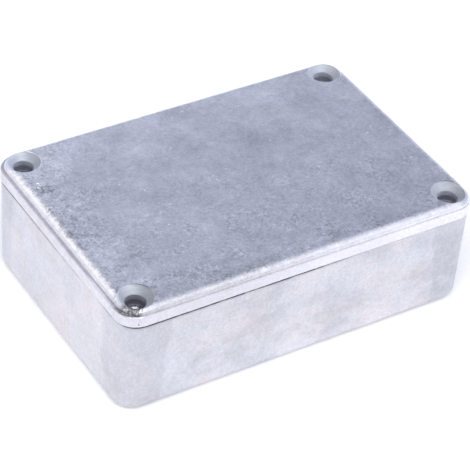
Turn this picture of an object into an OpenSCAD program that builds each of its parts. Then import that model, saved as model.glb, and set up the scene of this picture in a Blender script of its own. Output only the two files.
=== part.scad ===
// Die cast box: a drafted open base and a loose, screw-down lid.
// Origin at the middle of the underside, +X along the length, +Y along the width, +Z up.

/* [Box] */
// Length over the lid's side band
box_l = 98; // [80:0.5:150]
// Width over the lid's side band
box_w = 67; // [56:0.5:110]
// Radius of the upright corners at the joint
corner_r = 5.7; // [5.2:0.1:7]
// Distance the lid stands out past the base all round
lid_overhang = 0.15; // [0:0.05:0.3]

/* [Base] */
// Height of the base, from the underside to the joint
base_h = 26.6; // [20:0.1:60]
// Thickness of the walls at the joint
wall_t = 2.2; // [1.8:0.1:2.6]
// Thickness of the floor
floor_t = 2.2; // [1.6:0.1:4]
// Taper of the outer walls towards the underside, in degrees
base_draft = 0.75; // [0.25:0.05:1]
// Taper of the hollow towards the floor, in degrees
cavity_draft = 1; // [0.5:0.1:1.5]
// Radius of the edge round the underside
foot_r = 3; // [1:0.1:3.5]
// Radius between the floor and the walls, inside
floor_fillet_r = 1.6; // [0.5:0.1:2]
// Radius of the outer edges that meet at the joint
joint_edge_r = 0.25; // [0.1:0.05:0.35]

/* [Lid] */
// Height of the lid above the joint
lid_h = 4.8; // [4.2:0.1:8]
// Thickness of the lid's top plate
lid_plate_t = 2.3; // [1.8:0.1:2.8]
// Taper of the lid's side band, in degrees
lid_draft = 1; // [0.25:0.05:2]
// Width of the shoulder between the side band and the rounded top edge
shoulder_w = 0.5; // [0.2:0.05:0.7]
// Depth of the shoulder below the top face
shoulder_drop = 1.7; // [1.65:0.05:2.2]
// Radius of the rounded top edge
bead_r = 1.6; // [1:0.05:1.6]
// Depth of the locating tongue below the joint
tongue_h = 1.8; // [1:0.1:3]
// Thickness of the locating tongue
tongue_t = 1.5; // [1:0.1:2.5]
// Gap between the tongue and the inside of the base, on each side
tongue_gap = 0.6; // [0.3:0.05:1]
// Taper of the tongue's two faces, in degrees
tongue_draft = 3; // [1:0.5:5]

/* [Screw holes] */
// Distance of each screw from the two sides beside it
screw_inset = 5.6; // [5.2:0.1:7]
// Radius of the clearance holes in the lid
lid_hole_r = 2.5; // [2.1:0.05:2.7]
// Radius of the countersinks at the lid's top face
countersink_r = 4.25; // [3.8:0.05:4.4]
// Radius of the tapped holes in the base
tapped_r = 1.65; // [1.25:0.05:2]
// Full-bore depth of the tapped holes below the joint
tapped_depth = 14; // [8:0.5:16]
// Width of the chamfer at the mouth of the tapped holes
tapped_chamfer = 0.45; // [0.2:0.05:0.6]
// Radius of the base's corner bosses at the joint
boss_r = 4.1; // [3.6:0.1:4.6]
// Taper of the corner bosses, in degrees
boss_draft = 1; // [0.5:0.1:1.5]
// Step between a boss's round and the webs that tie it to the walls
web_step = 0.5; // [0.3:0.05:0.8]
// Radius of the lid's pads round the screw holes, at the joint
pad_r = 4.6; // [4.3:0.1:5.2]

/* [Hidden] */
$fn = 96;

// Overrun of a cutting shape past the face it opens
over = 1;
// Full angle of the countersinks and of the drilled bottoms of the tapped holes, in degrees
countersink_angle = 90;
drill_angle = 118;

box_h = base_h + lid_h;
joint_z = base_h;
plate_z = box_h - lid_plate_t;
shoulder_z = box_h - shoulder_drop;

// Outline of the base at the joint, inside the lid's overhang
base_l = box_l - 2 * lid_overhang;
base_w = box_w - 2 * lid_overhang;

// Screw positions, shared by the lid's holes and the base's bosses
screw_x = box_l / 2 - screw_inset;
screw_y = box_w / 2 - screw_inset;

// Insets from the lid's side band at the joint
tongue_inset = lid_overhang + wall_t + tongue_gap;
rim_inset = tongue_inset + tongue_t;

lid_colour = [0.66, 0.69, 0.73];
base_colour = [0.82, 0.83, 0.85];

// ---- Rounded outlines ----

// Flat position of a point given as [x, y, corner radius]
function flat(p) = [p[0], p[1]];
function unit(v) = v / norm(v);
// Neighbours of point i on a closed outline
function before(pts, i) = flat(pts[(i + len(pts) - 1) % len(pts)]);
function after(pts, i) = flat(pts[(i + 1) % len(pts)]);
// Half the angle between the two edges that meet at point i
function half_angle(pts, i) =
    acos(unit(before(pts, i) - flat(pts[i])) * unit(after(pts, i) - flat(pts[i]))) / 2;
// Where the corner arc of point i starts and ends on its two edges
function arc_end(pts, i, towards) =
    flat(pts[i]) + unit(towards - flat(pts[i])) * pts[i][2] / tan(half_angle(pts, i));
function arc_centre(pts, i) =
    flat(pts[i]) + unit(unit(before(pts, i) - flat(pts[i])) + unit(after(pts, i) - flat(pts[i])))
        * pts[i][2] / sin(half_angle(pts, i));

// The sliver between a sharp corner and its arc
module corner_sliver(pts, i) {
    difference() {
        polygon([arc_end(pts, i, before(pts, i)), flat(pts[i]), arc_end(pts, i, after(pts, i))]);
        translate(arc_centre(pts, i)) circle(pts[i][2]);
    }
}

// A closed outline of [x, y, radius] points. Only corners that stand outwards are rounded.
module rounded_outline(pts) {
    difference() {
        polygon([for (p = pts) flat(p)]);
        for (i = [0 : len(pts) - 1])
            if (pts[i][2] > 0) corner_sliver(pts, i);
    }
}

// ---- Blocks with one section all round ----

// Sweeps a half section round a rounded rectangle and fills the middle from bottom to top. The
// section's x runs outwards from the axis of the corner and its y runs up.
module swept_block(l, w, r, bottom, top) {
    for (quarter = [0 : 3]) {
        across = quarter % 2 == 0 ? [l, w] : [w, l];
        rotate([0, 0, 90 * quarter]) {
            translate([across[0] / 2 - r, across[1] / 2 - r, 0])
                rotate_extrude(angle = 90) children();
            translate([r - across[0] / 2, across[1] / 2 - r, 0]) rotate([90, 0, 90])
                linear_extrude(across[0] - 2 * r) children();
        }
    }
    translate([r - l / 2, r - w / 2, bottom]) cube([l - 2 * r, w - 2 * r, top - bottom]);
}

// Places its children at the four screws, each turned so that its corner is at +X +Y
module at_screws() {
    for (sx = [0, 1], sy = [0, 1])
        mirror([sx, 0, 0]) mirror([0, sy, 0]) translate([screw_x, screw_y, 0]) children();
}

// ---- Base ----

// Half section of the outside, from the corner's axis
module base_outer_section() {
    lean = base_h * tan(base_draft);
    rounded_outline([
        [0, 0, 0],
        [corner_r - lean, 0, foot_r],
        [corner_r, base_h, joint_edge_r],
        [0, base_h, 0],
    ]);
}

// Half section of the hollow. It runs on past the joint so that the cut is open.
module base_cavity_section() {
    reach = corner_r - wall_t;
    lean = (base_h - floor_t) * tan(cavity_draft);
    rounded_outline([
        [0, floor_t, 0],
        [reach - lean, floor_t, floor_fillet_r],
        [reach, base_h, 0],
        [reach, base_h + over, 0],
        [0, base_h + over, 0],
    ]);
}

// A tapered column under each screw, tied to the two walls beside it by webs
module corner_boss() {
    spread = base_h * tan(boss_draft);
    web = boss_r - web_step;
    reach = screw_inset;
    cylinder(h = base_h, r1 = boss_r + spread, r2 = boss_r);
    for (turn = [0, 1])
        rotate([0, 0, 90 * turn]) mirror([0, turn, 0])
            translate([0, reach, 0]) rotate([90, 0, 0]) linear_extrude(reach)
                polygon([[-web - spread, 0], [reach, 0], [reach, base_h], [-web, base_h]]);
}

// Cutter for a tapped hole with a chamfered mouth and a drilled point
module tapped_hole() {
    tip_z = -tapped_depth - tapped_r / tan(drill_angle / 2);
    translate([0, 0, joint_z]) rotate_extrude() polygon([
        [0, tip_z],
        [tapped_r, -tapped_depth],
        [tapped_r, -tapped_chamfer],
        [tapped_r + tapped_chamfer + over, over],
        [0, over],
    ]);
}

module base() {
    color(base_colour) difference() {
        swept_block(base_l, base_w, corner_r, 0, base_h) base_outer_section();
        difference() {
            swept_block(base_l, base_w, corner_r, floor_t, base_h + over) base_cavity_section();
            at_screws() corner_boss();
        }
        at_screws() tapped_hole();
    }
}

// ---- Lid ----

// Half section of the lid: a drafted side band, a shoulder and the rounded top edge
module lid_outer_section() {
    band_top = corner_r - (shoulder_z - joint_z) * tan(lid_draft);
    bead = band_top - shoulder_w;
    rounded_outline([
        [0, joint_z, 0],
        [corner_r, joint_z, joint_edge_r],
        [band_top, shoulder_z, 0],
        [bead, shoulder_z, 0],
        [bead, box_h, bead_r],
        [0, box_h, 0],
    ]);
}

// The hollow under the lid's plate, as deep as the tongue stands, with upright sides
module lid_pan() {
    translate([rim_inset - box_l / 2, rim_inset - box_w / 2, joint_z - over])
        cube([box_l - 2 * rim_inset, box_w - 2 * rim_inset, plate_z - joint_z + over]);
}

// Full-depth pad round each screw hole
module screw_pad() {
    translate([0, 0, joint_z - over]) {
        cylinder(h = plate_z - joint_z + over, r = pad_r);
        for (turn = [0, 1])
            rotate([0, 0, 90 * turn]) mirror([0, turn, 0])
                translate([web_step - pad_r, 0, 0])
                    cube([pad_r - web_step + screw_inset, screw_inset, plate_z - joint_z + over]);
    }
}

// Section of the tongue, from its root in the lid down to its rounded tip
module tongue_section() {
    lean = tongue_h * tan(tongue_draft);
    tip_r = tongue_t / 4;
    rounded_outline([
        [lean, -tongue_h, tip_r],
        [tongue_t - lean, -tongue_h, tip_r],
        [tongue_t, 0, 0],
        [tongue_t, plate_z - joint_z, 0],
        [0, plate_z - joint_z, 0],
        [0, 0, 0],
    ]);
}

// One straight length of tongue, from one corner boss to the next, on the +Y side of a box that is
// l long and w wide
module tongue_run(l, w) {
    run = l - 2 * (screw_inset + boss_r + tongue_gap);
    translate([-run / 2, w / 2 - tongue_inset - tongue_t, joint_z])
        rotate([90, 0, 90]) linear_extrude(run) tongue_section();
}

module tongue() {
    for (side = [0, 180])
        rotate([0, 0, side]) {
            tongue_run(box_l, box_w);
            rotate([0, 0, 90]) tongue_run(box_w, box_l);
        }
}

// Cutter for a countersunk clearance hole right through the lid
module lid_screw_hole() {
    countersink_depth = (countersink_r - lid_hole_r) / tan(countersink_angle / 2);
    rotate_extrude() polygon([
        [0, joint_z - over],
        [lid_hole_r, joint_z - over],
        [lid_hole_r, box_h - countersink_depth],
        [countersink_r + over * tan(countersink_angle / 2), box_h + over],
        [0, box_h + over],
    ]);
}

module lid() {
    color(lid_colour) difference() {
        union() {
            difference() {
                swept_block(box_l, box_w, corner_r, joint_z, box_h) lid_outer_section();
                difference() {
                    lid_pan();
                    at_screws() screw_pad();
                }
            }
            tongue();
        }
        at_screws() lid_screw_hole();
    }
}

base();
lid();
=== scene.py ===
"""Dressed model of a small die cast aluminium box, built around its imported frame.

The two castings are taken from the frame's own solids, given softly broken edges and the slight
wander of a casting, and finished in tumbled aluminium. Lengths are in metres unless they say mm.
"""

import functools
import itertools
import logging
import math
import random
from dataclasses import dataclass

import bmesh
import bpy
from mathutils import Matrix, Vector, kdtree, noise


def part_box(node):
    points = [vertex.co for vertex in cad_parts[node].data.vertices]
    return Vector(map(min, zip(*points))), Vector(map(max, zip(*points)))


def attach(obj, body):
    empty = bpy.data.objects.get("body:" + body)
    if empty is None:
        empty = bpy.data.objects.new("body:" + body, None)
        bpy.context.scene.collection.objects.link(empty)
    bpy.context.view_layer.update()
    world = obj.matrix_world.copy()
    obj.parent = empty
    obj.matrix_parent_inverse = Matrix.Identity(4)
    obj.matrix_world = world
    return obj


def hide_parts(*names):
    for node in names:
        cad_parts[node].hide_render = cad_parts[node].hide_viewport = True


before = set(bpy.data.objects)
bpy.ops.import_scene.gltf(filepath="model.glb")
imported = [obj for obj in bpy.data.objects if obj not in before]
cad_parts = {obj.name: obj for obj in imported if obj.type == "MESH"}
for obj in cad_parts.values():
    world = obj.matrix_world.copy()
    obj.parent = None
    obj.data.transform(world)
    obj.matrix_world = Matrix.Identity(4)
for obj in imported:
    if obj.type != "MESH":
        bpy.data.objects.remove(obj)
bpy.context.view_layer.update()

MM = 0.001
LOG = logging.getLogger("cast_box")


# ---- Shader expressions ----


class Bench:
    """A node tree in the making: every node and every sum on it goes through this class."""

    def __init__(self, tree: bpy.types.NodeTree) -> None:
        """Clears the tree and keeps it.

        Args:
            tree: the node tree of a material or a world.
        """
        self.tree = tree
        tree.nodes.clear()

    def add(self, kind: str, settings: dict | None = None, inputs: dict | None = None) -> bpy.types.Node:
        """Adds one node.

        Args:
            kind: the node's type, without the words ShaderNode.
            settings: the node's own properties, set before its sockets.
            inputs: a value, an expression or a socket for each named or numbered input.

        Returns:
            The new node.
        """
        node = self.tree.nodes.new("ShaderNode" + kind)
        for name, value in (settings or {}).items():
            setattr(node, name, value)
        for name, value in (inputs or {}).items():
            self.feed(node.inputs[name], value)
        return node

    def feed(self, socket: bpy.types.NodeSocket, value: object) -> None:
        """Links an expression or a socket to an input, or sets a plain value on it.

        Args:
            socket: the input.
            value: a Wire, an output socket, or a number or tuple.
        """
        if isinstance(value, Wire):
            value = value.socket
        if isinstance(value, bpy.types.NodeSocket):
            self.tree.links.new(value, socket)
        else:
            socket.default_value = value

    def wire(self, kind: str, out: str | int, settings: dict | None = None,
             inputs: dict | None = None) -> "Wire":
        """Adds one node and returns one of its outputs as an expression.

        Args:
            kind: the node's type, without the words ShaderNode.
            out: name or number of the output.
            settings: the node's own properties.
            inputs: values for its inputs.

        Returns:
            The output, ready for sums.
        """
        return Wire(self, self.add(kind, settings, inputs).outputs[out])

    def blend(self, share: object, first: object, second: object) -> bpy.types.NodeSocket:
        """Mixes two colours.

        Args:
            share: how much of the second colour there is, from 0 to 1.
            first: a colour or a colour socket.
            second: a colour or a colour socket.

        Returns:
            The mixed colour's socket.
        """
        pair = [(*c, 1) if isinstance(c, tuple) else c for c in (first, second)]
        return self.add("Mix", {"data_type": "RGBA"}, {0: share, 6: pair[0], 7: pair[1]}).outputs[2]


@dataclass(frozen=True)
class Wire:
    """A number that varies over a surface. Sums on it add Math nodes."""

    bench: Bench
    socket: bpy.types.NodeSocket

    def _math(self, operation: str, *values: object) -> "Wire":
        """Adds a Math node.

        Args:
            operation: the node's operation.
            values: its inputs, in order.

        Returns:
            The result as an expression.
        """
        return self.bench.wire("Math", 0, {"operation": operation}, dict(enumerate(values)))

    def __add__(self, other: object) -> "Wire":
        """Sum."""
        return self._math("ADD", self, other)

    __radd__ = __add__

    def __sub__(self, other: object) -> "Wire":
        """Difference."""
        return self._math("SUBTRACT", self, other)

    def __rsub__(self, other: object) -> "Wire":
        """Difference, the other way round."""
        return self._math("SUBTRACT", other, self)

    def __mul__(self, other: object) -> "Wire":
        """Product."""
        return self._math("MULTIPLY", self, other)

    __rmul__ = __mul__

    def __pow__(self, other: object) -> "Wire":
        """Power."""
        return self._math("POWER", self, other)

    def __abs__(self) -> "Wire":
        """Size without sign."""
        return self._math("ABSOLUTE", self)

    def sign(self) -> "Wire":
        """-1 below 0 and 1 above it."""
        return self._math("SIGN", self)

    def angle(self, across: object) -> "Wire":
        """The angle, in radians, of the point that lies this far up and the other value across."""
        return self._math("ARCTAN2", self, across)

    def lowest(self, other: object) -> "Wire":
        """The lower of two values."""
        return self._math("MINIMUM", self, other)

    def highest(self, other: object) -> "Wire":
        """The higher of two values."""
        return self._math("MAXIMUM", self, other)

    def ramp(self, low: float, high: float) -> "Wire":
        """A smooth step.

        Args:
            low: the value where the step starts.
            high: the value where it ends. It may be below low, for a step down.

        Returns:
            0 before low, 1 past high, and a smooth slope between.
        """
        inputs = {"Value": self, "From Min": low, "From Max": high}
        return self.bench.wire("MapRange", 0, {"interpolation_type": "SMOOTHSTEP"}, inputs)


# ---- Studio ----


@dataclass(frozen=True)
class Camera:
    """Where the box is looked at from."""

    azimuth: float = -34.15
    elevation: float = 38.85
    roll: float = 4.91
    distance: float = 0.5503
    aim: tuple[float, float, float] = (-0.0009, -0.0030, 0.0157)
    lens: float = 171.7
    sensor: float = 36.0

    def build(self) -> bpy.types.Object:
        """Makes the scene's camera.

        Returns:
            The camera object.
        """
        azimuth, elevation, roll = (math.radians(a) for a in (self.azimuth, self.elevation, self.roll))
        right = Vector((math.cos(azimuth), math.sin(azimuth), 0))
        ahead = Vector((-math.sin(azimuth) * math.cos(elevation), math.cos(azimuth) * math.cos(elevation),
                        -math.sin(elevation)))
        up = right.cross(ahead)
        turn = Matrix.Rotation(-roll, 3, ahead)
        axes = Matrix((turn @ right, turn @ up, -ahead)).transposed()
        data = bpy.data.cameras.new("camera")
        data.lens, data.sensor_width = self.lens, self.sensor
        data.clip_start, data.clip_end = 0.05, 20
        camera = bpy.data.objects.new("camera", data)
        camera.matrix_world = Matrix.Translation(Vector(self.aim) - ahead * self.distance) @ axes.to_4x4()
        bpy.context.scene.collection.objects.link(camera)
        bpy.context.scene.camera = camera
        return camera


@dataclass(frozen=True)
class SoftLight:
    """A soft box: a square area light that faces a point."""

    name: str
    place: tuple[float, float, float]
    size: float
    power: float
    colour: tuple[float, float, float] = (1, 1, 1)

    def build(self) -> bpy.types.Object:
        """Makes the light and turns it towards the box.

        Returns:
            The light object.
        """
        data = bpy.data.lights.new(self.name, "AREA")
        data.shape, data.size, data.energy, data.color = "SQUARE", self.size, self.power, self.colour
        light = bpy.data.objects.new(self.name, data)
        light.location = self.place
        light.rotation_euler = (-Vector(self.place)).to_track_quat("-Z", "Y").to_euler()
        bpy.context.scene.collection.objects.link(light)
        return light


@dataclass(frozen=True)
class Dome:
    """Light from all round: open and bright on the near and left sides, dim at the back and right."""

    dim: tuple[float, float, float] = (0.485, 0.535, 0.685)
    open: tuple[float, float, float] = (0.98, 0.98, 1.02)
    zenith: tuple[float, float, float] = (0.60, 0.63, 0.70)
    low: tuple[float, float, float] = (0.52, 0.54, 0.60)
    front_share: float = 0.4
    edge: tuple[float, float] = (-0.62, -0.12)

    def build(self) -> bpy.types.World:
        """Makes the world's light.

        Returns:
            The world.
        """
        world = bpy.data.worlds.new("studio")
        world.use_nodes = True
        bench = Bench(world.node_tree)
        way = bench.add("SeparateXYZ", inputs={0: bench.add("TexCoord").outputs["Generated"]}).outputs
        x, y, z = (Wire(bench, way[i]) for i in range(3))
        opening = (x * -1 - y * self.front_share).ramp(*self.edge)
        high = bench.blend(opening, self.dim, self.open)
        capped = bench.blend(z.ramp(0.88, 0.99), high, self.zenith)
        behind = y.ramp(0.15, 0.55) * z.ramp(0.42, 0.05)
        colour = bench.blend(behind, capped, self.low)
        light = bench.add("Background", inputs={"Color": colour, "Strength": 1.0})
        bench.add("OutputWorld", inputs={"Surface": light.outputs[0]})
        return world


@dataclass(frozen=True)
class Studio:
    """A pale sweep under a soft dome and one soft box."""

    floor_size: float = 6.0
    floor_colour: tuple[float, float, float] = (0.93, 0.93, 0.94)
    dome: Dome = Dome()
    lights: tuple[SoftLight, ...] = (
        SoftLight("key_light", (-0.9, -1.7, 2.2), 2.6, 66),
    )

    def _floor(self) -> bpy.types.Object:
        """Makes the pale floor.

        Returns:
            The floor object.
        """
        bm = bmesh.new()
        bmesh.ops.create_grid(bm, x_segments=1, y_segments=1, size=self.floor_size / 2)
        mesh = bpy.data.meshes.new("floor")
        bm.to_mesh(mesh)
        bm.free()
        floor = bpy.data.objects.new("floor", mesh)
        bpy.context.scene.collection.objects.link(floor)
        material = bpy.data.materials.new("pale_floor")
        material.use_nodes = True
        bench = Bench(material.node_tree)
        paint = bench.add("BsdfPrincipled", inputs={"Base Color": (*self.floor_colour, 1), "Roughness": 0.9,
                                                    "Specular IOR Level": 0.1})
        bench.add("OutputMaterial", inputs={"Surface": paint.outputs[0]})
        mesh.materials.append(material)
        return floor

    def build(self) -> None:
        """Makes the dome, the floor and the lights, and sets how tones are shown."""
        bpy.context.scene.world = self.dome.build()
        self._floor()
        for light in self.lights:
            light.build()
        bpy.context.scene.view_settings.view_transform = "Standard"


# ---- Patterns ----


@dataclass(frozen=True)
class Sizes:
    """Sizes of the box that its finishes follow, in mm."""

    length: float = 98.0
    width: float = 67.0
    corner: float = 5.7
    joint: float = 26.6
    lid_top: float = 31.4
    bead: float = 1.6
    shoulder: float = 1.7
    ledge: float = 0.5
    screw_x: float = 43.4
    screw_y: float = 27.9
    hole: float = 2.5
    countersink: float = 4.25

    @property
    def step(self) -> float:
        """Height of the ledge between the lid's side band and its rounded edge."""
        return self.lid_top - self.shoulder

    def past_corner(self, place: Vector) -> tuple[float, float]:
        """How far a point, in mm, lies past the middle of its corner's arc, along x and y."""
        return (abs(place.x) - (self.length / 2 - self.corner), abs(place.y) - (self.width / 2 - self.corner))

    def inset(self, place: Vector) -> float:
        """Distance in from the side of the box.

        Args:
            place: a point, in mm.

        Returns:
            The distance, in mm.
        """
        ox, oy = self.past_corner(place)
        return self.corner - math.hypot(max(ox, 0), max(oy, 0)) - min(max(ox, oy), 0)

    def leftward(self, place: Vector) -> float:
        """How far the side nearest to a point looks to the left.

        Args:
            place: a point, in mm.

        Returns:
            1 on the left side, 0 on the front, back and right, and between them round the corners.
        """
        ox, oy = self.past_corner(place)
        share = max(ox, 0) / math.hypot(ox, oy) if oy > 0 else float(ox > oy)
        return share * (place.x < 0)


@dataclass(frozen=True)
class Cloud:
    """A cloudy pattern. Lengths are in mm, and the turn is in degrees about the upright axis.

    The lumps are halved octaves times, each time with gain times the strength. With a span, the pattern is
    0 below it and 1 above it, and without one it lies about 0.5.
    """

    cell: float
    octaves: float
    gain: float
    shift: float
    stretch: tuple[float, float, float] = (1, 1, 1)
    turn: float = 0.0
    span: tuple[float, float] | None = None


@dataclass(frozen=True)
class Dots:
    """Scattered dots, at most one to a cell of so many mm and sized as a share of it, where a cloud is."""

    cell: float
    size: float
    shift: float
    where: Cloud | None = None


@dataclass(frozen=True)
class Lines:
    """Thin lines along the curves of one cloud, kept where another one is."""

    curves: Cloud
    width: float
    where: Cloud


@dataclass(frozen=True)
class Spot:
    """A soft round place on a casting, in mm."""

    x: float
    y: float
    reach: float


@dataclass(frozen=True)
class HoleGround:
    """Measures about the nearest screw hole, each worked out once, where a finish first asks for it."""

    ground: "Ground"
    sizes: Sizes

    @functools.cached_property
    def past(self) -> tuple[Wire, Wire]:
        """How far a place lies past the hole's axis along x and y, away from the middle of the box."""
        return abs(self.ground.x) - self.sizes.screw_x, abs(self.ground.y) - self.sizes.screw_y

    @functools.cached_property
    def out(self) -> Wire:
        """Distance from the hole's axis, in mm."""
        ox, oy = self.past
        return (ox ** 2 + oy ** 2) ** 0.5

    @functools.cached_property
    def about(self) -> Wire:
        """Turn about the hole's axis, in radians."""
        ox, oy = self.past
        return oy.angle(ox)

    @functools.cached_property
    def right(self) -> Wire:
        """Distance to the right of the hole's axis, in mm."""
        return self.past[0] * self.ground.x.sign()

    @functools.cached_property
    def back(self) -> Wire:
        """Distance behind the hole's axis, in mm."""
        return self.past[1] * self.ground.y.sign()


@dataclass(frozen=True)
class Ground:
    """Where a pattern lies on a casting: its own coordinates, in mm, and measures taken from them."""

    bench: Bench
    spot: bpy.types.NodeSocket
    x: Wire
    y: Wire
    z: Wire

    @classmethod
    def under(cls, bench: Bench) -> "Ground":
        """Reads the casting's coordinates.

        Args:
            bench: the material's node tree.

        Returns:
            The ground of the pattern.
        """
        place = bench.add("TexCoord").outputs["Object"]
        spot = bench.add("VectorMath", {"operation": "SCALE"}, {0: place, "Scale": 1 / MM}).outputs[0]
        parts = bench.add("SeparateXYZ", inputs={0: spot}).outputs
        return cls(bench, spot, *(Wire(bench, parts[i]) for i in range(3)))

    def moved(self, shift: float, stretch: tuple[float, float, float] = (1, 1, 1),
              turn: float = 0.0) -> bpy.types.NodeSocket:
        """Shifts, turns and stretches the coordinates, so that two patterns never match.

        Args:
            shift: how far, in mm, along every axis.
            stretch: size of the pattern along each axis, against its own.
            turn: turn about the upright axis, in degrees.

        Returns:
            The new coordinates.
        """
        scale = tuple(1 / part for part in stretch)
        return self.bench.add("Mapping", inputs={
            "Vector": self.spot, "Location": (shift, shift * 1.7, shift * 0.6),
            "Rotation": (0, 0, math.radians(turn)), "Scale": scale}).outputs[0]

    def cloud(self, pattern: Cloud) -> Wire:
        """Lays a cloudy pattern.

        Args:
            pattern: the pattern.

        Returns:
            A value about 0.5, or from 0 to 1 if the pattern has a span.
        """
        spot = self.moved(pattern.shift, pattern.stretch, pattern.turn)
        value = self.bench.wire("TexNoise", 0, {"noise_dimensions": "3D"}, {
            "Vector": spot, "Scale": 1 / pattern.cell, "Detail": pattern.octaves, "Roughness": pattern.gain})
        return value.ramp(*pattern.span) if pattern.span else value

    def swing(self, pattern: Cloud) -> Wire:
        """Lays a cloudy pattern without a span, so that it lies about 0."""
        return self.cloud(pattern) - 0.5

    def dots(self, pattern: Dots) -> Wire:
        """Lays scattered dots.

        Args:
            pattern: the dots.

        Returns:
            1 within a dot and 0 outside, with a soft rim.
        """
        far = self.bench.wire("TexVoronoi", "Distance", {"feature": "F1"}, {
            "Vector": self.moved(pattern.shift), "Scale": 1 / pattern.cell, "Randomness": 1.0})
        dots = far.ramp(pattern.size, pattern.size * 0.4)
        return dots * self.cloud(pattern.where) if pattern.where else dots

    def lines(self, pattern: Lines) -> Wire:
        """Lays thin curving lines, 1 on a line and 0 off it."""
        return abs(self.swing(pattern.curves)).ramp(pattern.width, 0.0) * self.cloud(pattern.where)

    def inset(self, sizes: Sizes) -> Wire:
        """Distance in from the side of the box.

        Args:
            sizes: the box's sizes.

        Returns:
            The distance in mm, above 0 inside.
        """
        ox = abs(self.x) - (sizes.length / 2 - sizes.corner)
        oy = abs(self.y) - (sizes.width / 2 - sizes.corner)
        round_part = (ox.highest(0) ** 2 + oy.highest(0) ** 2) ** 0.5
        return sizes.corner - round_part - ox.highest(oy).lowest(0)

    def hole(self, sizes: Sizes) -> HoleGround:
        """Measures about the nearest screw hole."""
        return HoleGround(self, sizes)

    def near(self, spot: Spot) -> Wire:
        """1 in the middle of a soft round place and 0 past its reach."""
        return (((self.x - spot.x) ** 2 + (self.y - spot.y) ** 2) ** 0.5).ramp(spot.reach, 0.0)

    def near_any(self, spots: tuple[Spot, ...]) -> Wire:
        """Several soft round places, each as strong as the nearest makes it."""
        return functools.reduce(Wire.highest, map(self.near, spots))

    def patch(self, x: tuple[float, float], y: tuple[float, float], soft: float) -> Wire:
        """A soft oblong patch.

        Args:
            x: its lowest and highest x, in mm.
            y: its lowest and highest y, in mm.
            soft: half the width of its soft rim, in mm.

        Returns:
            1 inside and 0 outside.
        """
        along = self.x.ramp(x[0] - soft, x[0] + soft) * self.x.ramp(x[1] + soft, x[1] - soft)
        return along * self.y.ramp(y[0] - soft, y[0] + soft) * self.y.ramp(y[1] + soft, y[1] - soft)


@dataclass(frozen=True)
class Sides:
    """Where the lid's sides are: left, front, the right end of that front, and the back and right."""

    left: Wire
    front: Wire
    right: Wire
    other: Wire


@dataclass(frozen=True)
class Shares:
    """How strongly something shows on each side of the lid. The right share adds to that of the front."""

    left: float
    front: float
    right: float
    other: float = 0.0

    def over(self, sides: Sides) -> Wire:
        """Lays the shares over the lid.

        Args:
            sides: where the sides are.

        Returns:
            The share at each place.
        """
        seen = sides.left * self.left + sides.front * self.front + sides.right * self.right
        return seen + sides.other * self.other


# ---- Finishes ----


@dataclass(frozen=True)
class Skin:
    """What the layers of a finish build up: tone, roughness and relief."""

    tone: Wire
    roughness: Wire
    relief: Wire


@dataclass(frozen=True)
class CastFinish:
    """Tumbled cast aluminium: dull where it is as cast, brighter where tumbling has polished it or a
    highlight is painted.
    """

    name: str
    slot: str
    dull: tuple[float, float, float] = (0.64, 0.64, 0.682)
    warm: tuple[float, float, float] = (0.68, 0.652, 0.672)
    warmth: float = 0.6
    warm_cloud: Cloud = Cloud(12.0, 3.0, 0.65, 40.0, span=(0.40, 0.66))
    roughness: float = 0.42
    rough_cloud: Cloud = Cloud(4.0, 3.0, 0.6, 31.0)
    rough_swing: float = 0.2
    drift_cloud: Cloud = Cloud(26.0, 1.0, 0.5, 130.0)
    drift: float = 0.3
    lump_cloud: Cloud = Cloud(9.0, 5.0, 0.85, 3.1)
    lumps: float = 0.5
    grain_cloud: Cloud = Cloud(0.75, 3.0, 0.95, 17.0)
    grains: float = 0.5
    relief_depth: float = 0.025 * MM
    sizes: Sizes = Sizes()

    def grain(self, ground: Ground, busy: float | Wire = 1.0) -> Wire:
        """The mottling of a casting, from lumps down to grains.

        Args:
            ground: where the pattern lies.
            busy: strength of the grains against their own.

        Returns:
            A tone about 1.
        """
        drift = ground.swing(self.drift_cloud) * self.lumps * self.drift
        coarse = ground.swing(self.lump_cloud) * self.lumps
        return drift + coarse + ground.swing(self.grain_cloud) * (busy * self.grains) + 1

    def roughened(self, ground: Ground) -> Wire:
        """The roughness, which swings a little from place to place."""
        return ground.swing(self.rough_cloud) * self.rough_swing + self.roughness

    def skin(self, ground: Ground) -> Skin:
        """The layers of the finish, which each casting's own class lays."""
        raise NotImplementedError

    def tint(self, ground: Ground) -> bpy.types.NodeSocket:
        """The metal's own colour, which drifts a little between cool and warm."""
        return ground.bench.blend(ground.cloud(self.warm_cloud) * self.warmth, self.dull, self.warm)

    def material(self) -> bpy.types.Material:
        """Builds the finish.

        Returns:
            The material.
        """
        material = bpy.data.materials.new(self.name)
        material.use_nodes = True
        bench = Bench(material.node_tree)
        ground = Ground.under(bench)
        skin = self.skin(ground)
        colour = bench.add("VectorMath", {"operation": "SCALE"}, {0: self.tint(ground), "Scale": skin.tone})
        bump = bench.add("Bump", inputs={
            "Height": skin.relief, "Distance": self.relief_depth, "Strength": 1.0})
        shade = bench.add("BsdfPrincipled", inputs={
            "Base Color": colour.outputs[0], "Metallic": 1.0, "Roughness": skin.roughness,
            "Normal": bump.outputs[0]})
        bench.add("OutputMaterial", inputs={"Surface": shade.outputs[0]})
        return material


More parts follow.
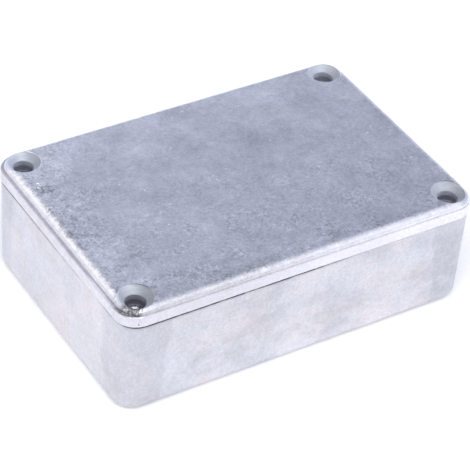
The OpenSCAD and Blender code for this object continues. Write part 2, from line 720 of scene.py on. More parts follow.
@dataclass(frozen=True)
class BaseFinish(CastFinish):
    """The base: even and cloudy, darker where the screw bosses stand behind the wall, with painted shade on
    its front and along the seam.
    """

    dull: tuple[float, float, float] = (0.633, 0.641, 0.685)
    warm: tuple[float, float, float] = (0.684, 0.650, 0.669)
    warmth: float = 0.8
    lumps: float = 0.34
    grains: float = 0.66
    boss_x: tuple[float, float] = (37.0, 37.8)
    boss_y: tuple[float, float] = (21.8, 24.8)
    boss_cloud: Cloud = Cloud(9.0, 3.0, 0.6, 11.0)
    boss_waver: float = 4.0
    boss_lean: float = 0.06
    boss_middle: float = 13.0
    boss_tone: float = 0.085
    boss_coolness: float = 0.8
    # painted shade on the front face, darker than the left side and lighter towards the bottom
    front_edge: tuple[float, float] = (-27.5, -33.0)
    front_shade_depth: float = 0.015
    front_shade_left: float = 0.04
    front_shade_less_right: float = 0.035
    front_shade_less_low: float = 0.035
    # painted shade along the seam under the lid's edge
    seam_shade_depth: float = 0.9
    seam_shade_soft: float = 0.32
    seam_shade_cloud: Cloud = Cloud(3.0, 3.0, 0.6, 66.0, span=(0.3, 0.55))
    seam_shade_left: float = 0.8
    seam_shade_other: float = 0.3
    stains: Cloud = Cloud(9.0, 4.0, 0.7, 25.0, (1.6, 1.6, 0.9), span=(0.46, 0.68))
    stain_tone: float = 0.1
    streaks: Cloud = Cloud(1.2, 3.0, 0.7, 83.0, (1.0, 1.0, 5.0), span=(0.5, 0.8))
    streak_tone: float = 0.03
    specks: Dots = Dots(1.7, 0.10, 5.0, Cloud(5.0, 1.0, 0.5, 60.0, span=(0.42, 0.6)))
    speck_tone: float = 0.12
    # painted shade and dark oxide in the screw holes
    hole_edge: tuple[float, float] = (0.4, -0.1)
    hole_shade_and_oxide: float = 0.25
    relief_cloud: Cloud = Cloud(1.6, 4.0, 0.62, 9.0)
    speck_relief: float = 0.3

    def bosses(self, ground: Ground) -> Wire:
        """Where a boss behind the wall has kept the metal dull.

        Args:
            ground: where the pattern lies.

        Returns:
            1 over the bosses and 0 elsewhere.
        """
        lean = (ground.z - self.boss_middle) * self.boss_lean
        waver = ground.swing(self.boss_cloud) * self.boss_waver + lean
        return (abs(ground.x) + waver).ramp(*self.boss_x) * (abs(ground.y) + waver).ramp(*self.boss_y)

    def tint(self, ground: Ground) -> bpy.types.NodeSocket:
        """The metal's colour, which stays cool over the bosses.

        Args:
            ground: where the pattern lies.

        Returns:
            The colour's socket.
        """
        cool = self.bosses(ground) * self.boss_coolness
        return ground.bench.blend(cool, super().tint(ground), self.dull)

    def painted_front_shade(self, ground: Ground) -> Wire:
        """Painted shade on the front and its corner, against the left side: darkest towards the left end,
        least towards the right end and the bottom.

        Args:
            ground: where the pattern lies.

        Returns:
            A tone about 1.
        """
        near_left, right, low = ground.x.ramp(0.0, -38.0), ground.x.ramp(10.0, 45.0), ground.z.ramp(14.0, 2.0)
        front_shaded = self.front_shade_depth + near_left * self.front_shade_left - right * self.front_shade_less_right
        return 1.01 - ground.y.ramp(*self.front_edge) * (front_shaded - low * self.front_shade_less_low)

    def seam_shade(self, ground: Ground) -> Wire:
        """Painted shade under the lid's edge along the seam, most on the near left and least on the right.

        Args:
            ground: where the pattern lies.

        Returns:
            1 where it is darkest.
        """
        joint = self.sizes.joint
        line = ground.z.ramp(joint - 0.5, joint - 0.15)
        shade = ground.z.ramp(joint - 1.2, joint - 0.2) * self.seam_shade_soft
        front = ground.y.ramp(-29.0, -32.5)
        left = ground.x.ramp(-45.0, -48.0) * (1 - front)
        share = front * ground.x.ramp(20.0, 0.0) + left * ground.y.ramp(-20.0, 8.0) * self.seam_shade_left
        share = share + (1 - front - left).highest(0) * self.seam_shade_other
        return line.highest(shade) * share * (ground.cloud(self.seam_shade_cloud) * 0.5 + 0.5)

    def skin(self, ground: Ground) -> Skin:
        """The layers of the base's finish.

        Args:
            ground: where the patterns lie.

        Returns:
            The finished layers.
        """
        hole = self.sizes.hole
        stains = ground.cloud(self.stains) * (ground.y.ramp(-20.0, -33.0) * 0.8 + 0.45)
        specks = ground.dots(self.specks)
        # painted shade on the front, laid over the grain
        tone = self.grain(ground) * self.painted_front_shade(ground)
        tone = tone * (1 - self.bosses(ground) * self.boss_tone) * (1 - stains * self.stain_tone)
        tone = tone * (1 - ground.cloud(self.streaks) * self.streak_tone) * (1 - specks * self.speck_tone)
        # painted shade along the seam under the lid
        tone = tone * (1 - self.seam_shade(ground) * self.seam_shade_depth)
        # painted shade and dark oxide inside the screw holes
        bore = ground.hole(self.sizes).out.ramp(*(hole + edge for edge in self.hole_edge))
        relief = ground.cloud(self.relief_cloud) - specks * self.speck_relief
        return Skin(tone * (1 - bore * self.hole_shade_and_oxide), self.roughened(ground), relief)


@dataclass(frozen=True)
class LidFinish(CastFinish):
    """The lid: mottled on top, polished by tumbling and given painted highlights along its rounded edge, with
    painted shade in the crease and at the seam, freshly cut in its countersinks.
    """

    warmth: float = 0.2
    lumps: float = 0.87
    grains: float = 1.42
    left_edge: tuple[float, float] = (-43.5, -47.0)
    front_edge: tuple[float, float] = (-27.5, -31.5)
    right_end: tuple[float, float] = (-25.0, 46.0)

    # the rounded edge and band: tumbling polish and painted highlight, set side by side
    rub_highlight_edge: tuple[float, float] = (1.95, 1.1)
    rub_highlight_cloud: Cloud = Cloud(0.9, 3.0, 0.8, 14.0)
    rub_highlight_ragged: float = 1.3
    rub_highlight_reach: Shares = Shares(left=0.6, front=0.1, right=0.0, other=0.5)
    bead_rub_highlight: Shares = Shares(left=0.4324, front=0.1564, right=0.092, other=0.368)
    band_rub_highlight: Shares = Shares(left=-0.03, front=0.015, right=0.12)
    band_rub_highlight_least: float = 0.05
    band_rub_highlight_right: float = 0.07
    # painted highlight on the crest of the front's rounded edge and on the left ledge below it
    crest_highlight: float = 0.24
    crest_highlight_less: float = 0.3
    ledge_highlight: float = 0.4
    scuffs: Cloud = Cloud(0.9, 4.0, 0.9, 47.0, (2.6, 1.6, 1.0), span=(0.44, 0.62))
    scuff_tone: float = 0.2
    chafe: Cloud = Cloud(1.3, 4.0, 0.8, 61.0, (3.0, 3.0, 1.0))
    specks: Dots = Dots(0.8, 0.24, 96.0, Cloud(2.5, 2.0, 0.6, 99.0, span=(0.42, 0.62)))
    speck_tone: float = 0.34

    fresh: tuple[float, float, float] = (0.552, 0.575, 0.624)
    bored: tuple[float, float, float] = (0.555, 0.57, 0.65)
    cut_tone: float = 1.07
    cut_lit: float = 0.14
    cut_shaded: float = 0.3
    cut_rings: float = 0.5
    cut_roughness: float = 0.36
    rim_tone: float = 0.65
    rim_glint: float = 0.2
    # painted shade and dark oxide in the bores, darkest at the lip, with painted light in the back and right
    # holes
    bore_tone: float = 0.9
    bore_lip_shade: float = 0.66
    bore_painted_light: float = 0.3
    bore_roughness: float = 0.1

    fringe: float = 0.3
    fringe_cloud: Cloud = Cloud(1.3, 4.0, 0.85, 90.0, span=(0.48, 0.58))
    smudged: Cloud = Cloud(2.2, 4.0, 0.75, 33.0, (2.2, 1, 1), 15.0, span=(0.48, 0.66))
    smudge_tone: float = 0.2
    bruise: Spot = Spot(-43.4, 15.6, 3.2)
    bruise_cloud: Cloud = Cloud(1.0, 3.0, 0.8, 71.0, span=(0.4, 0.6))
    bruise_tone: float = 0.75
    sparkling: Spot = Spot(-44.4, 17.8, 2.0)
    sparkle: Dots = Dots(1.0, 0.42, 37.0)
    sparkle_tone: float = 1.4
    pits: Dots = Dots(1.1, 0.13, 21.0, Cloud(5.0, 2.0, 0.6, 8.0, span=(0.42, 0.6)))
    pit_tone: float = 0.2
    glints: Dots = Dots(3.2, 0.11, 63.0, Cloud(9.0, 2.0, 0.6, 70.0, span=(0.44, 0.56)))
    glint_tone: float = 0.45
    hairs: Lines = Lines(Cloud(3.0, 1.0, 0.4, 44.0), 0.014, Cloud(2.4, 2.0, 0.6, 58.0, span=(0.58, 0.66)))
    hair_tone: float = 0.3
    scratches: Lines = Lines(Cloud(6.0, 1.0, 0.4, 19.0, (3.0, 1.0, 1.0), 35.0), 0.006,
                             Cloud(4.0, 2.0, 0.6, 88.0, span=(0.58, 0.68)))
    scratch_tone: float = 0.28
    scored: Spot = Spot(-5.4, 1.6, 2.4)
    score_cloud: Cloud = Cloud(0.5, 2.0, 0.6, 12.0, (1.0, 5.0, 1.0), span=(0.5, 0.58))
    score_tone: float = 0.34

    dull_patches: tuple[Spot, ...] = (
        Spot(30, -15, 12), Spot(10, 13, 10), Spot(32, 19, 9), Spot(0, 28, 6), Spot(-28, 20, 9))
    dull_cloud: Cloud = Cloud(4.0, 4.0, 0.7, 51.0, span=(0.34, 0.6))
    dull_tone: float = 0.12
    busy_cloud: Cloud = Cloud(7.0, 3.0, 0.6, 5.5, span=(0.46, 0.6))
    left_cloud: Cloud = Cloud(2.4, 4.0, 0.9, 77.0)
    left_swing: float = 1.7
    # painted shade in the crease below the rounded edge and at the seam
    crease: float = 0.46
    crease_share: Shares = Shares(left=0.2, front=0.3, right=-0.3, other=0.2)
    crease_cloud: Cloud = Cloud(1.6, 3.0, 0.7, 54.0, span=(0.3, 0.6))
    crease_corner: Spot = Spot(-46.0, -32.0, 16.0)
    crease_end: Spot = Spot(-48.8, -29.0, 5.5)
    lid_seam_shade: float = 0.5
    torn_end: tuple[Spot, ...] = (Spot(-46.0, -31.6, 2.2), Spot(-44.8, -31.6, 1.9))
    torn_bead: Spot = Spot(-47.6, -30.6, 2.7)
    torn_cloud: Cloud = Cloud(0.7, 3.0, 0.8, 29.0, span=(0.42, 0.56))
    relief_cloud: Cloud = Cloud(1.0, 4.0, 0.65, 9.0)
    pit_relief: float = 0.5
    shine_relief: float = 4.0

    def sides(self, ground: Ground) -> Sides:
        """Finds the lid's sides.

        Args:
            ground: where the pattern lies.

        Returns:
            Where each side is.
        """
        left = ground.x.ramp(*self.left_edge)
        front = ground.y.ramp(*self.front_edge) * (1 - left)
        return Sides(left, front, ground.x.ramp(*self.right_end) * front, 1 - left - front)

    def rubbed_and_highlit(self, ground: Ground, inset: Wire) -> Wire:
        """How much brighter the lid is made along its rounded edge: partly tumbling polish and partly painted
        highlight, set side by side, with painted highlight alone on the crest and the ledge below it.

        Args:
            ground: where the pattern lies.
            inset: distance in from the lid's side.

        Returns:
            The gain in tone.
        """
        top, step = self.sizes.lid_top, self.sizes.step
        sides = self.sides(ground)
        ragged = ground.swing(self.rub_highlight_cloud) * self.rub_highlight_ragged - self.rub_highlight_reach.over(sides)
        edge = (inset + ragged).ramp(*self.rub_highlight_edge)
        bead = edge * ground.z.ramp(step, top - 1.0)
        upper = ground.z.ramp(top - 1.25, top - 0.75) - (1 - sides.right) * self.crest_highlight_less
        crest = edge * upper * sides.front * (1 - ground.x.ramp(-10.0, -32.0) * 0.5)
        ledge = sides.left * ground.y.ramp(-13.0, -20.0) * inset.ramp(0.7, 0.5)
        ledge = ledge * ground.z.ramp(step + 0.3, step + 0.1) * ground.z.ramp(step - 0.2, step)
        # painted highlight on the crest and the ledge; the bead's gain is polish and painted highlight
        gain = bead * self.bead_rub_highlight.over(sides) + crest * self.crest_highlight + ledge * self.ledge_highlight
        # the band: tumbling polish and painted highlight, set side by side
        along = self.band_rub_highlight.over(sides) + sides.front * ground.x.ramp(-25.0, 0.0) * self.band_rub_highlight_right
        band = ground.z.ramp(top - 1.0, step + 0.1) * edge * (along + self.band_rub_highlight_least)
        marred = ground.cloud(self.scuffs) * self.scuff_tone + ground.dots(self.specks) * self.speck_tone
        scuffed = bead * marred * (sides.front * (1.0 - sides.right * 0.8) + 0.3)
        return gain + band * (ground.cloud(self.chafe) * 0.7 + 0.65) - scuffed

    def bore(self, hole: HoleGround) -> Wire:
        """1 within the screw holes and 0 outside them."""
        return hole.out.ramp(self.sizes.hole + 0.16, self.sizes.hole + 0.06)

    def cut(self, hole: HoleGround, ground: Ground) -> Wire:
        """Where the countersinks are cut.

        Args:
            hole: measures about the nearest hole.
            ground: where the pattern lies.

        Returns:
            1 on cut metal and 0 on the cast skin.
        """
        edge = self.sizes.countersink
        return hole.out.ramp(edge + 0.1, edge - 0.06) * ground.z.ramp(28.2, 28.8)

    def tint(self, ground: Ground) -> bpy.types.NodeSocket:
        """The cast metal's colour, and the cooler one of the cut metal in the countersinks.

        Args:
            ground: where the pattern lies.

        Returns:
            The colour's socket.
        """
        hole = ground.hole(self.sizes)
        skin = ground.bench.blend(self.cut(hole, ground), super().tint(ground), self.fresh)
        return ground.bench.blend(self.bore(hole), skin, self.bored)

    def rings(self, ground: Ground, hole: HoleGround) -> Wire:
        """The rings that a cutter leaves round a hole.

        Args:
            ground: where the pattern lies.
            hole: measures about the nearest hole.

        Returns:
            A value about 0.5.
        """
        place = {0: hole.out * 5, 1: hole.about * 0.9, 2: ground.x * 0.02}
        groove = ground.bench.add("CombineXYZ", inputs=place)
        return ground.bench.wire("TexNoise", 0, {"noise_dimensions": "3D"}, {
            "Vector": groove.outputs[0], "Scale": 1.0, "Detail": 3.0, "Roughness": 0.6})

    def machined(self, ground: Ground, tone: Wire, rough: Wire) -> tuple[Wire, Wire]:
        """Lays the cut metal of the countersinks and bores over the cast skin, with painted light and shade
        on the cones and rims and in the bores.

        Args:
            ground: where the patterns lie.
            tone: the cast skin's tone.
            rough: the cast skin's roughness.

        Returns:
            The new tone and roughness.
        """
        hole = ground.hole(self.sizes)
        rings = self.rings(ground, hole)
        cut = self.cut(hole, ground)
        # painted light and shade on the cones: lighter towards the back and on the left of each hole, darker
        # on its right
        shade = (rings - 0.5) * self.cut_rings + self.cut_tone + ground.y * 0.0016
        shade = shade + hole.right.ramp(0.5, -3.5) * self.cut_lit
        shade = shade - hole.right.ramp(-0.5, 3.5) * self.cut_shaded
        tone = tone * (1 - cut) + shade * cut
        rim = abs(hole.out - self.sizes.countersink - 0.08).ramp(0.2, 0.02) * ground.z.ramp(30.9, 31.2)
        nicked = (hole.right + hole.back).ramp(4.4, 5.8) * ground.y.ramp(5.0, -5.0) * self.rim_tone
        # painted glint on the right of the back holes' rims
        glinting = hole.right.ramp(0.0, 3.0) * ground.y.ramp(-5.0, 5.0) * self.rim_glint
        tone = tone * (1 - rim * nicked + rim * glinting)
        bore = self.bore(hole) * ground.z.ramp(29.8, 29.6)
        # painted shade and dark oxide in the bores, darkest at the lip, with painted light on each bore's
        # left and in the back and right holes
        brighter = (ground.y.ramp(-5.0, 5.0) + ground.x.ramp(-5.0, 5.0)) * self.bore_painted_light + 1
        bored = ground.z.ramp(29.2, 26.4) * (self.bore_tone - self.bore_lip_shade) + self.bore_lip_shade
        bored = bored * (0.6 + rings * 0.8) * (hole.right.ramp(1.5, -2.0) * 0.35 + 0.85) * brighter
        tone = tone * (1 - bore) + bored * bore
        return tone, rough + cut * self.cut_roughness + bore * self.bore_roughness

    def marks(self, ground: Ground, inset: Wire) -> tuple[Wire, Wire, Wire]:
        """Pits, glints, scratches, smudges and the dark broken line beside the edge.

        Args:
            ground: where the patterns lie.
            inset: distance in from the lid's side.

        Returns:
            The marks' tone about 1, the pits alone and the glints alone.
        """
        where = ground.x.ramp(28.0, 44.0) * ground.y.ramp(-14.0, 2.0) * 0.35
        where = ground.x.ramp(-38.0, -44.0).highest(where).highest(ground.y.ramp(-28.0, -31.0) * 0.6)
        line = inset.ramp(1.5, 2.2) * inset.ramp(4.6, 3.0) * where
        line = line * ground.cloud(self.fringe_cloud) * self.fringe
        smudges = ground.patch((-30, 14), (-31, -26), 2.5) * ground.cloud(self.smudged) * self.smudge_tone
        bruise = ground.cloud(self.bruise_cloud) * ground.near(self.bruise) * self.bruise_tone
        sparkle = ground.dots(self.sparkle) * ground.near(self.sparkling).ramp(0.1, 0.5) * self.sparkle_tone
        pits = ground.dots(self.pits)
        scored = ground.cloud(self.score_cloud) * ground.near(self.scored).ramp(0.15, 0.45)
        bruise = bruise * (1 - sparkle.lowest(1))
        tone = (1 - line) * (1 - smudges) * (1 - bruise) * (1 - pits * self.pit_tone)
        # painted glints: bright dots on the top and at the sparkling spot
        shine = ground.dots(self.glints) * inset.ramp(1.5, 2.0) * self.glint_tone + sparkle
        lines = ground.lines(self.hairs) * self.hair_tone + ground.lines(self.scratches) * self.scratch_tone
        return tone * (shine + lines + scored * self.score_tone + 1), pits, shine

    def busy(self, ground: Ground) -> Wire:
        """How strong the fine grain is: calm in the middle, rough in patches towards the near edges.

        Args:
            ground: where the patterns lie.

        Returns:
            A factor of the grain.
        """
        near = ground.y.ramp(8.0, -20.0).highest(ground.x.ramp(-24.0, -40.0))
        return ground.cloud(self.busy_cloud) * (near * 0.75 + 0.25) * 0.9 + near * 0.3 + 0.48

    def crease_and_seam_shade(self, ground: Ground, inset: Wire) -> Wire:
        """Painted shade in the crease below the rounded edge and along the seam.

        Args:
            ground: where the patterns lie.
            inset: distance in from the lid's side.

        Returns:
            A tone, 1 where no shade is painted.
        """
        joint, step = self.sizes.joint, self.sizes.step
        sides = self.sides(ground)
        # painted shade in the crease, deeper towards the near left corner
        under = ground.z.ramp(step + 1.35, step + 0.5) * ground.z.ramp(step - 0.3, step + 0.2)
        line = ground.z.ramp(step + 0.55, step + 0.1) * ground.z.ramp(step - 0.3, step - 0.02)
        corner = ground.near(self.crease_corner) * 0.45 + ground.near(self.crease_end) * 0.63
        crease = under * 0.55 + line * ground.cloud(self.crease_cloud) * 0.6
        crease = crease * (self.crease_share.over(sides) + corner)
        crease = crease * inset.ramp(0.02, 0.2) * inset.ramp(1.7, 1.3)
        # painted shade on the lid's lower edge at the seam
        seam = ground.z.ramp(joint + 0.25, joint + 0.02) * (1 - sides.right)
        return (1 - crease * self.crease) * (1 - seam * self.lid_seam_shade)

    def torn(self, ground: Ground) -> Wire:
        """The dark smear where the rounded edge is torn at the near left corner.

        Args:
            ground: where the pattern lies.

        Returns:
            A tone, 1 away from the tear.
        """
        step = self.sizes.step
        end = ground.near_any(self.torn_end).ramp(0.0, 0.45)
        smear = end.highest(ground.near(self.torn_bead).ramp(0.0, 0.45) * 0.75)
        smear = smear * ground.z.ramp(step - 0.4, step + 0.1)
        return 1 - smear * (ground.cloud(self.torn_cloud) * 0.35 + 0.45)

    def mottled(self, ground: Ground, inset: Wire) -> Wire:
        """The lid's grain, coarser on the left and calmer on the rounded edge.

        Args:
            ground: where the patterns lie.
            inset: distance in from the lid's side.

        Returns:
            A tone about 1.
        """
        coarse = ground.swing(self.left_cloud) * ground.x.ramp(-30.0, -45.0) * self.left_swing
        calm = inset.ramp(1.9, 1.2) * 0.7
        return (self.grain(ground, self.busy(ground)) + coarse) * (1 - calm) + calm

    def skin(self, ground: Ground) -> Skin:
        """The layers of the lid's finish.

        Args:
            ground: where the patterns lie.

        Returns:
            The finished layers.
        """
        inset = ground.inset(self.sizes)
        marks, pits, shine = self.marks(ground, inset)
        # painted sheen: the top made lighter towards the back and the left
        painted_sheen = ground.y.ramp(2.0, 34.0) * 0.12 + ground.y * 0.0012 - ground.x * 0.0011
        patches = ground.near_any(self.dull_patches) * ground.cloud(self.dull_cloud)
        tone = self.mottled(ground, inset) * marks * (painted_sheen * inset.ramp(1.0, 2.5) + 1.02)
        tone = tone * (1 - patches * self.dull_tone) * (self.rubbed_and_highlit(ground, inset) + 1)
        rough = self.roughened(ground) - inset.ramp(1.7, 1.2) * 0.08
        # painted shade in the crease and at the seam, then the cut metal
        tone, rough = self.machined(ground, tone * self.crease_and_seam_shade(ground, inset), rough)
        relief = ground.cloud(self.relief_cloud) - pits * self.pit_relief + shine * self.shine_relief
        return Skin(tone * self.torn(ground), rough, relief)


# ---- Castings ----


@dataclass(frozen=True)
class Knock:
    """A small knock or torn spot in a casting's skin. All in mm."""

    at: tuple[float, float, float]
    reach: float
    depth: float
    rough: float = 0.0
    lift: float = 0.0

    def place(self) -> Vector:
        """Its middle, in metres."""
        return Vector(self.at) * MM


@dataclass
class Casting:
    """One casting, taken from its solid in the frame and given a casting's surface."""

    node: str
    name: str
    finish: CastFinish
    sizes: Sizes = Sizes()
    edge_break: float = 0.08 * MM
    worn_break: float = 0.34 * MM
    sharp: float = math.radians(25)
    smooth_to: float = math.radians(40)
    flat: float = math.radians(0.2)
    level: float = 0.05 * MM
    cut_slack: float = 0.002 * MM
    cell: float = 1.0 * MM
    fine_cell: float = 0.25 * MM
    lump: float = 7.0 * MM
    wander: float = 0.05 * MM
    gap: float = 0.15 * MM
    gap_reach: float = 0.4 * MM
    gap_lump: float = 14 * MM
    held_to: float = 0.5 * MM
    torn_grain: float = 0.5 * MM
    knock_room: float = 1.2
    slip: tuple[float, float] = (0.0, 0.0)
    rim_wear: tuple[float, float] = (0.0, 0.0)
    knocks: tuple[Knock, ...] = ()
    edge_knocks: int = 0
    edge_heights: tuple[tuple[float, float], ...] = ()
    seed: int = 5

    def mesh(self) -> bmesh.types.BMesh:
        """Merges the solid's triangles and joins what is flat.

        Returns:
            A closed mesh of whole faces.
        """
        bm = bmesh.new()
        bm.from_mesh(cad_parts[self.node].data)
        bmesh.ops.remove_doubles(bm, verts=bm.verts, dist=0.001 * MM)
        bmesh.ops.dissolve_limit(bm, angle_limit=self.flat, verts=bm.verts, edges=bm.edges)
        return bm

    def sharp_edges(self, bm: bmesh.types.BMesh) -> list[bmesh.types.BMEdge]:
        """Finds the mesh's sharp edges.

        Args:
            bm: the casting's mesh.

        Returns:
            The edges.
        """
        return [e for e in bm.edges if e.is_manifold and e.calc_face_angle() > self.sharp]

    def break_edges(self, bm: bmesh.types.BMesh) -> None:
        """Rounds every sharp edge a little, and the worn one below the lid's rounded edge more.

        Args:
            bm: the casting's mesh.
        """
        ledge = self.sizes.step * MM
        worn = [e for e in self.sharp_edges(bm)
                if e.is_convex and all(abs(v.co.z - ledge) < self.level for v in e.verts)]
        bmesh.ops.bevel(bm, geom=worn, offset=self.worn_break, offset_type="OFFSET", segments=4, profile=0.5,
                        affect="EDGES", material=-1, clamp_overlap=True)
        bmesh.ops.bevel(bm, geom=self.sharp_edges(bm), offset=self.edge_break, offset_type="OFFSET",
                        segments=2, profile=0.5, affect="EDGES", material=-1, clamp_overlap=True)

    def cut_cells(self, bm: bmesh.types.BMesh, low: Vector, high: Vector, cell: float,
                  faces: list[bmesh.types.BMFace]) -> list:
        """Cuts faces along a grid, so that the surface can be shaped between the cuts.

        Args:
            bm: the casting's mesh.
            low: lowest corner of the grid.
            high: highest corner of the grid.
            cell: spacing of the cuts.
            faces: the faces to cut.

        Returns:
            The points, edges and faces cut.
        """
        edges = {e for f in faces for e in f.edges}
        verts = {v for f in faces for v in f.verts}
        geom = [*verts, *edges, *faces]
        for axis in range(3):
            across = Vector((axis == 0, axis == 1, axis == 2))
            for step in range(1, int((high[axis] - low[axis]) / cell) + 1):
                at = across * (low[axis] + step * cell)
                geom = bmesh.ops.bisect_plane(bm, geom=geom, dist=self.cut_slack, plane_co=at,
                                              plane_no=across)["geom"]
        return geom

    def all_knocks(self) -> list[Knock]:
        """The named knocks, and small ones scattered along the edges.

        Returns:
            Every knock.
        """
        chance = random.Random(self.seed)
        knocks = list(self.knocks)
        half_x, half_y = self.sizes.length / 2, self.sizes.width / 2
        for _ in range(self.edge_knocks):
            along_x = chance.random() < 0.6
            inset, height = chance.choice(self.edge_heights)
            side = chance.choice((-1, 1))
            if along_x:
                x, y = chance.uniform(-0.8, 0.8) * half_x, side * (half_y - inset)
            else:
                x, y = side * (half_x - inset), chance.uniform(-0.75, 0.75) * half_y
            knocks.append(Knock((x, y, height), chance.uniform(0.7, 1.4), chance.uniform(0.03, 0.08), 0.1))
        return knocks

    def dent(self, bm: bmesh.types.BMesh, knock: Knock, around: list[bmesh.types.BMVert]) -> None:
        """Cuts the mesh finely round a knock and sinks it.

        Args:
            bm: the casting's mesh.
            knock: the knock.
            around: the points near it.
        """
        middle, reach = knock.place(), knock.reach * MM
        box = Vector((reach, reach, reach)) * self.knock_room
        near = {f for v in around for f in v.link_faces}
        geom = self.cut_cells(bm, middle - box, middle + box, self.fine_cell, list(near))
        faces = [g for g in geom if isinstance(g, bmesh.types.BMFace)]
        for face in faces:
            face.normal_update()
        verts = {v for f in faces for v in f.verts}
        for vert in verts:
            vert.normal_update()
        for vert in sorted(verts, key=lambda v: tuple(v.co)):
            far = (vert.co - middle).length / reach
            if far < 1:
                share = (1 - far * far) ** 2
                ragged = 1 + knock.rough * 2.5 * noise.fractal(vert.co / self.torn_grain, 0.6, 2.0, 3)
                vert.co -= vert.normal * share * max(0.0, ragged) * knock.depth * MM
                vert.co.z += share * max(0.0, ragged - 1) * knock.lift * MM

    def knock_all(self, bm: bmesh.types.BMesh) -> None:
        """Makes every knock.

        Args:
            bm: the casting's mesh.
        """
        verts = list(bm.verts)
        tree = kdtree.KDTree(len(verts))
        for index, vert in enumerate(verts):
            tree.insert(vert.co, index)
        tree.balance()
        for knock in self.all_knocks():
            found = tree.find_range(knock.place(), knock.reach * self.knock_room * MM + 1.5 * self.cell)
            self.dent(bm, knock, [verts[index] for _, index, _ in found])

    def slipped(self, place: Vector) -> Vector:
        """How far the rim of the top stands off centre over its band, as halves of a mould do.

        Args:
            place: a point of the casting.

        Returns:
            The slip there, in metres.
        """
        inset = self.sizes.inset(place / MM)
        share = min(1.0, max(0.0, (inset - 0.3) / 0.15)) * min(1.0, max(0.0, (4.0 - inset) / 2.0))
        high = place.z / MM > self.sizes.step - 0.15
        return Vector((*self.slip, 0)) * MM * share * high

    def worn_down(self, place: Vector) -> float:
        """How far tumbling has worn down the rounded edge of the top, which makes it broader.

        Args:
            place: a point of the casting.

        Returns:
            The drop there, in metres.
        """
        sizes = self.sizes
        spot = place / MM
        across = sizes.inset(spot) - sizes.ledge
        wear, left_wear = self.rim_wear
        broad = sizes.bead + wear + left_wear * sizes.leftward(spot)
        if not 0 < across < broad or broad == sizes.bead:
            return 0.0
        cast = sizes.bead * (1 - math.sqrt(1 - max(0.0, 1 - across / sizes.bead) ** 2))
        if abs(sizes.lid_top - cast - spot.z) > 0.12:
            return 0.0
        worn = sizes.bead * (1 - math.sqrt(1 - (1 - across / broad) ** 2))
        return (worn - cast) * MM

    def cut_rim(self, bm: bmesh.types.BMesh) -> None:
        """Cuts the flat top beside its rounded edge, so that the worn edge can run out into it.

        Args:
            bm: the casting's mesh.
        """
        half = (self.sizes.length / 2, self.sizes.width / 2)
        start = self.sizes.ledge + self.sizes.bead
        top = self.sizes.lid_top * MM
        for axis, side, step in itertools.product(range(2), (-1, 1), (0.2, 0.4, 0.65)):
            across = Vector((axis == 0, axis == 1, 0)) * side
            faces = [f for f in bm.faces if f.calc_center_median().z > top - self.level]
            geom = [*{v for f in faces for v in f.verts}, *{e for f in faces for e in f.edges}, *faces]
            at = across * (half[axis] - start - step) * MM
            bmesh.ops.bisect_plane(bm, geom=geom, dist=self.cut_slack, plane_co=at, plane_no=across)

    def settle(self, bm: bmesh.types.BMesh) -> None:
        """Lets the skin wander inwards, and the joint's edges draw apart by a varying hair.

        Args:
            bm: the casting's mesh.
        """
        low, high = (Vector(c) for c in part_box(self.node))
        joint = self.sizes.joint * MM
        away = 1 if self.node == "lid" else -1
        for vert in bm.verts:
            drop = self.worn_down(vert.co)
            vert.co += self.slipped(vert.co)
            vert.co.z -= drop
            lumps = 0.5 + 0.9 * noise.fractal(vert.co / self.lump, 0.7, 2.0, 3)
            held = min(1.0, (vert.co.z - low.z) / self.held_to) if self.node == "base" else 1.0
            vert.co -= vert.normal * self.wander * min(1.0, max(0.0, lumps)) * held
            from_joint = abs(vert.co.z - joint)
            outside = max(abs(vert.co.x) / high.x, abs(vert.co.y) / high.y)
            if from_joint < self.gap_reach and outside > 0.97:
                along = min(1.0, max(0.0, 0.5 - 1.4 * vert.co.x / high.x))
                share = 1.0 if vert.co.y > -0.9 * high.y else along
                open_up = max(0.0, 0.35 + noise.noise(vert.co / self.gap_lump)) * share
                vert.co.z += away * self.gap * open_up * (1 - from_joint / self.gap_reach)

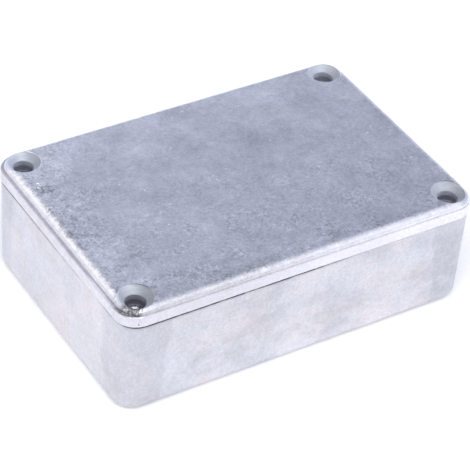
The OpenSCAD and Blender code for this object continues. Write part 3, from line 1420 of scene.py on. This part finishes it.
    def build(self) -> bpy.types.Object:
        """Makes the casting's object, dresses it and puts it on its body.

        Returns:
            The finished piece.
        """
        bm = self.mesh()
        self.break_edges(bm)
        low, high = (Vector(c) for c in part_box(self.node))
        self.cut_cells(bm, low, high, self.cell, list(bm.faces))
        if any(self.rim_wear):
            self.cut_rim(bm)
        bm.normal_update()
        self.settle(bm)
        self.knock_all(bm)
        mesh = bpy.data.meshes.new(self.name)
        for face in bm.faces:
            face.smooth = True
        bm.to_mesh(mesh)
        bm.free()
        mesh.set_sharp_from_angle(angle=self.smooth_to)
        piece = bpy.data.objects.new(self.name, mesh)
        bpy.context.scene.collection.objects.link(piece)
        mesh.materials.append(self.finish.material())
        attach(piece, "root")
        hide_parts(self.node)
        return piece


def main() -> None:
    """Builds the studio and both castings, and reports each piece."""
    logging.basicConfig(level=logging.INFO, format="%(message)s")
    Camera().build()
    Studio().build()
    torn_bead = Knock((-47.9, -30.1, 30.5), 2.0, 0.2, 0.3)
    torn_end = Knock((-46.5, -31.4, 30.4), 1.5, 0.18, 0.5)
    torn_lip = Knock((-44.9, -31.8, 30.9), 1.3, 0.14, 0.45)
    burr = Knock((-43.6, -30.3, 29.3), 1.0, 0.0, 1.0, 0.35)
    dints = tuple(Knock((x, y, Sizes.lid_top), reach, depth, 0.8) for x, y, reach, depth in (
        (-42.7, 6.0, 1.1, 0.1), (-44.4, 17.7, 1.5, 0.11), (-26.5, -30.4, 1.0, 0.09), (-6.0, 2.0, 1.0, 0.05),
        (5.0, 3.5, 1.1, 0.05), (-3.0, -13.0, 0.9, 0.05), (16.0, -24.0, 1.3, 0.05)))
    lid_edges = ((0.4, 26.7), (0.2, 29.6), (0.9, 30.6), (1.7, 31.2))
    castings = (
        Casting("base", "base_shell", BaseFinish("base_cast", "base_casting"),
                edge_knocks=10, edge_heights=((0.2, 26.4), (0.5, 1.2))),
        Casting("lid", "lid_cover", LidFinish("lid_cast", "lid_casting"),
                knocks=(torn_bead, torn_end, torn_lip, burr, *dints), edge_knocks=22,
                edge_heights=lid_edges, slip=(0.3, -0.2), rim_wear=(0.4, 0.4)),
    )
    for casting in castings:
        piece = casting.build()
        LOG.info("%s: %d faces", piece.name, len(piece.data.polygons))


if __name__ == "__main__":
    main()
